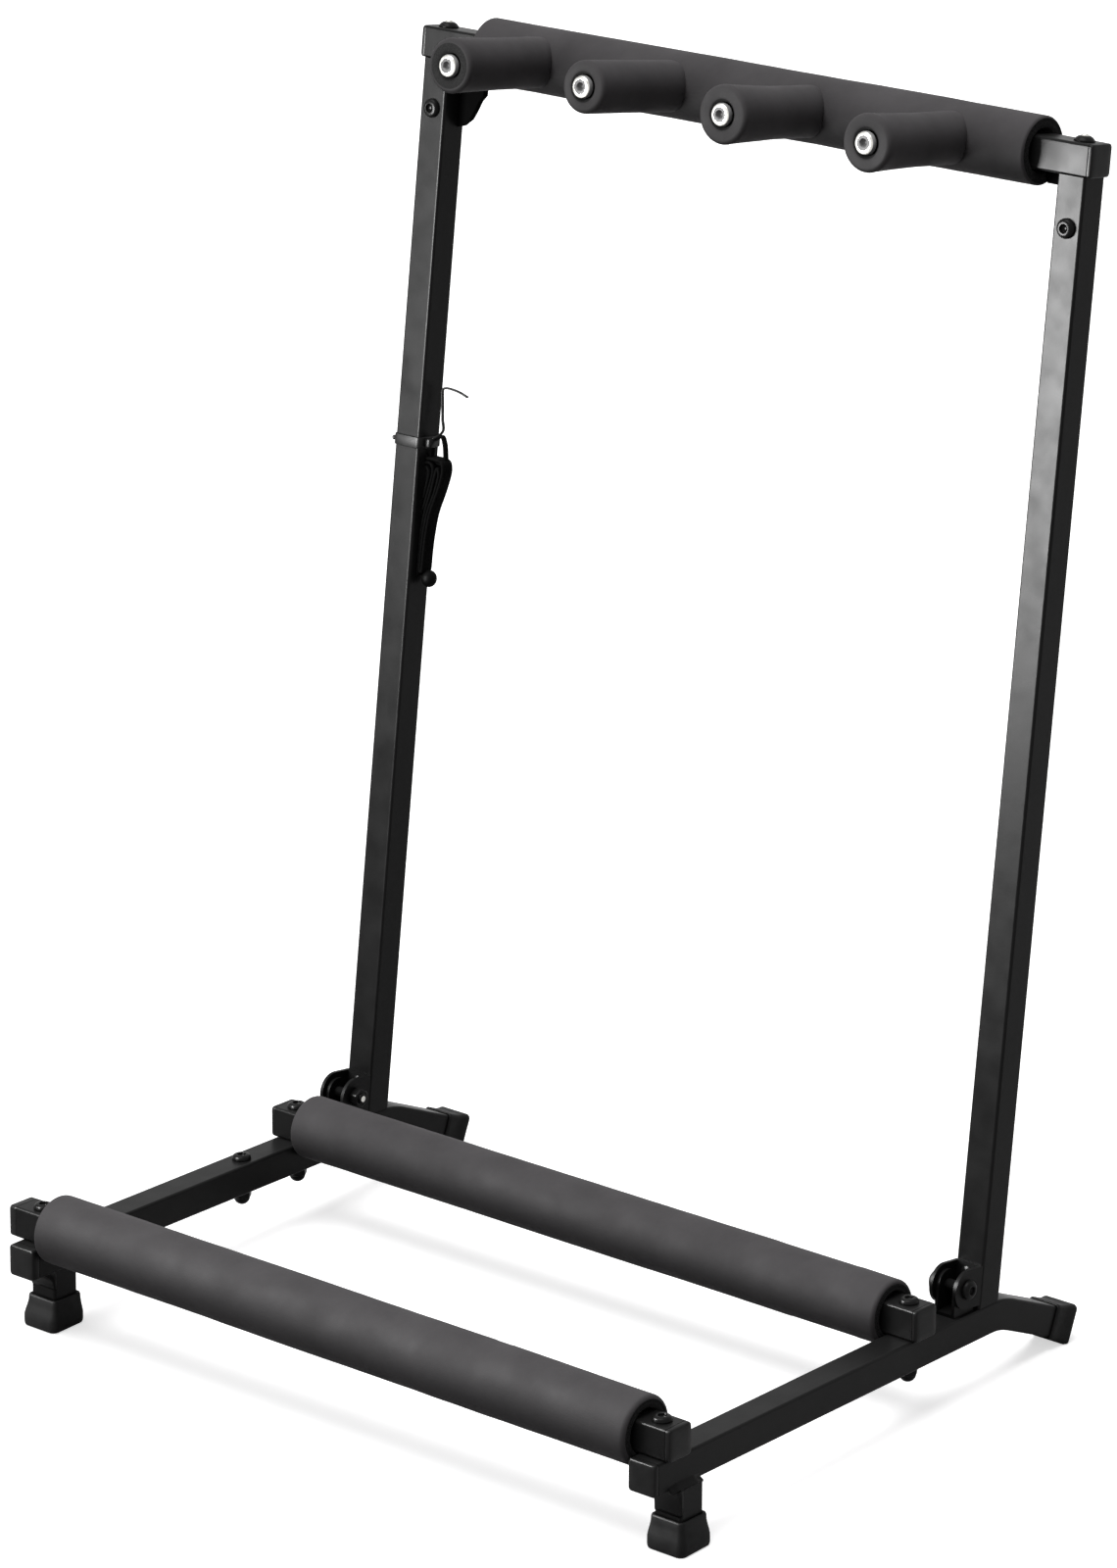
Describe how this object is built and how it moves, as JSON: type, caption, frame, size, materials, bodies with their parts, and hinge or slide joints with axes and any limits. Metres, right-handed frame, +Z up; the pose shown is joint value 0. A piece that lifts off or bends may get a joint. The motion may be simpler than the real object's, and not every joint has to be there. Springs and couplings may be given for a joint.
{
  "type": "folding guitar rack",
  "caption": "Free-standing folding rack of square black tube: a padded base cradle and a leaning mast whose top bar carries foam-covered fingers.",
  "frame": {"origin": "on the floor, under the middle of the stand's width and depth, with the mast up", "axes": "+X to the stand's right as seen from the front, -Y to the front where the guitars go in, +Z up"},
  "size_m": [0.4764, 0.397, 0.6939],
  "materials": {
    "powder_coat": "semi-gloss",
    "black_plate": "gloss",
    "black_plastic": "satin",
    "foot_rubber": "matte",
    "foam": "matte foam",
    "black_fastener": "black zinc",
    "bright_steel": "bright zinc",
    "rod_steel": "plain",
    "tie_nylon": "satin",
    "strap_webbing": "woven"
  },
  "bodies": {
    "base": {"side_tube_left": "powder_coat", "side_tube_right": "powder_coat", "side_plug_left": "black_plastic", "side_plug_right": "black_plastic", "front_leg_left": "powder_coat", "front_leg_right": "powder_coat", "front_foot_left": "foot_rubber", "front_foot_right": "foot_rubber", "rear_foot_left": "foot_rubber", "rear_foot_right": "foot_rubber", "front_crossbar": "powder_coat", "rear_crossbar": "powder_coat", "front_bar_plug_left": "black_plastic", "front_bar_plug_right": "black_plastic", "rear_bar_plug_left": "black_plastic", "rear_bar_plug_right": "black_plastic", "front_foam": "foam", "rear_foam": "foam", "hinge_lug_left": "black_plate", "hinge_lug_right": "black_plate", "crossbar_bolts": "black_fastener", "weld_nuts": "rod_steel", "acorn_nuts": "black_fastener", "spare_bolt": "black_fastener"},
    "mast": {"upright_left": "powder_coat", "upright_right": "powder_coat", "hinge_bracket_left": "black_plate", "hinge_bracket_right": "black_plate", "hinge_pin_left": "black_fastener", "hinge_pin_right": "black_fastener", "hinge_nuts": "black_fastener", "bracket_rivets": "black_fastener", "top_bar": "powder_coat", "top_plug_left": "black_plastic", "top_plug_right": "black_plastic", "top_insert_left": "black_plastic", "top_insert_right": "black_plastic", "insert_bolts": "black_fastener", "top_bolts": "bright_steel", "corner_gusset_left": "black_plastic", "corner_gusset_right": "black_plastic", "top_foam": "foam", "finger_rod_1": "rod_steel", "finger_rod_2": "rod_steel", "finger_rod_3": "rod_steel", "finger_rod_4": "rod_steel", "finger_foam_1": "foam", "finger_foam_2": "foam", "finger_foam_3": "foam", "finger_foam_4": "foam", "finger_washers": "bright_steel", "finger_bolts": "bright_steel", "cable_tie": "tie_nylon", "storage_strap": "strap_webbing", "strap_bead": "strap_webbing"}
  },
  "joints": [
    {"name": "mast_fold", "type": "hinge", "parent": "base", "child": "mast", "pos_m": [0, 0.06903, 0.06207], "axis": [1, 0, 0], "range_deg": [0, 96]}
  ]
}
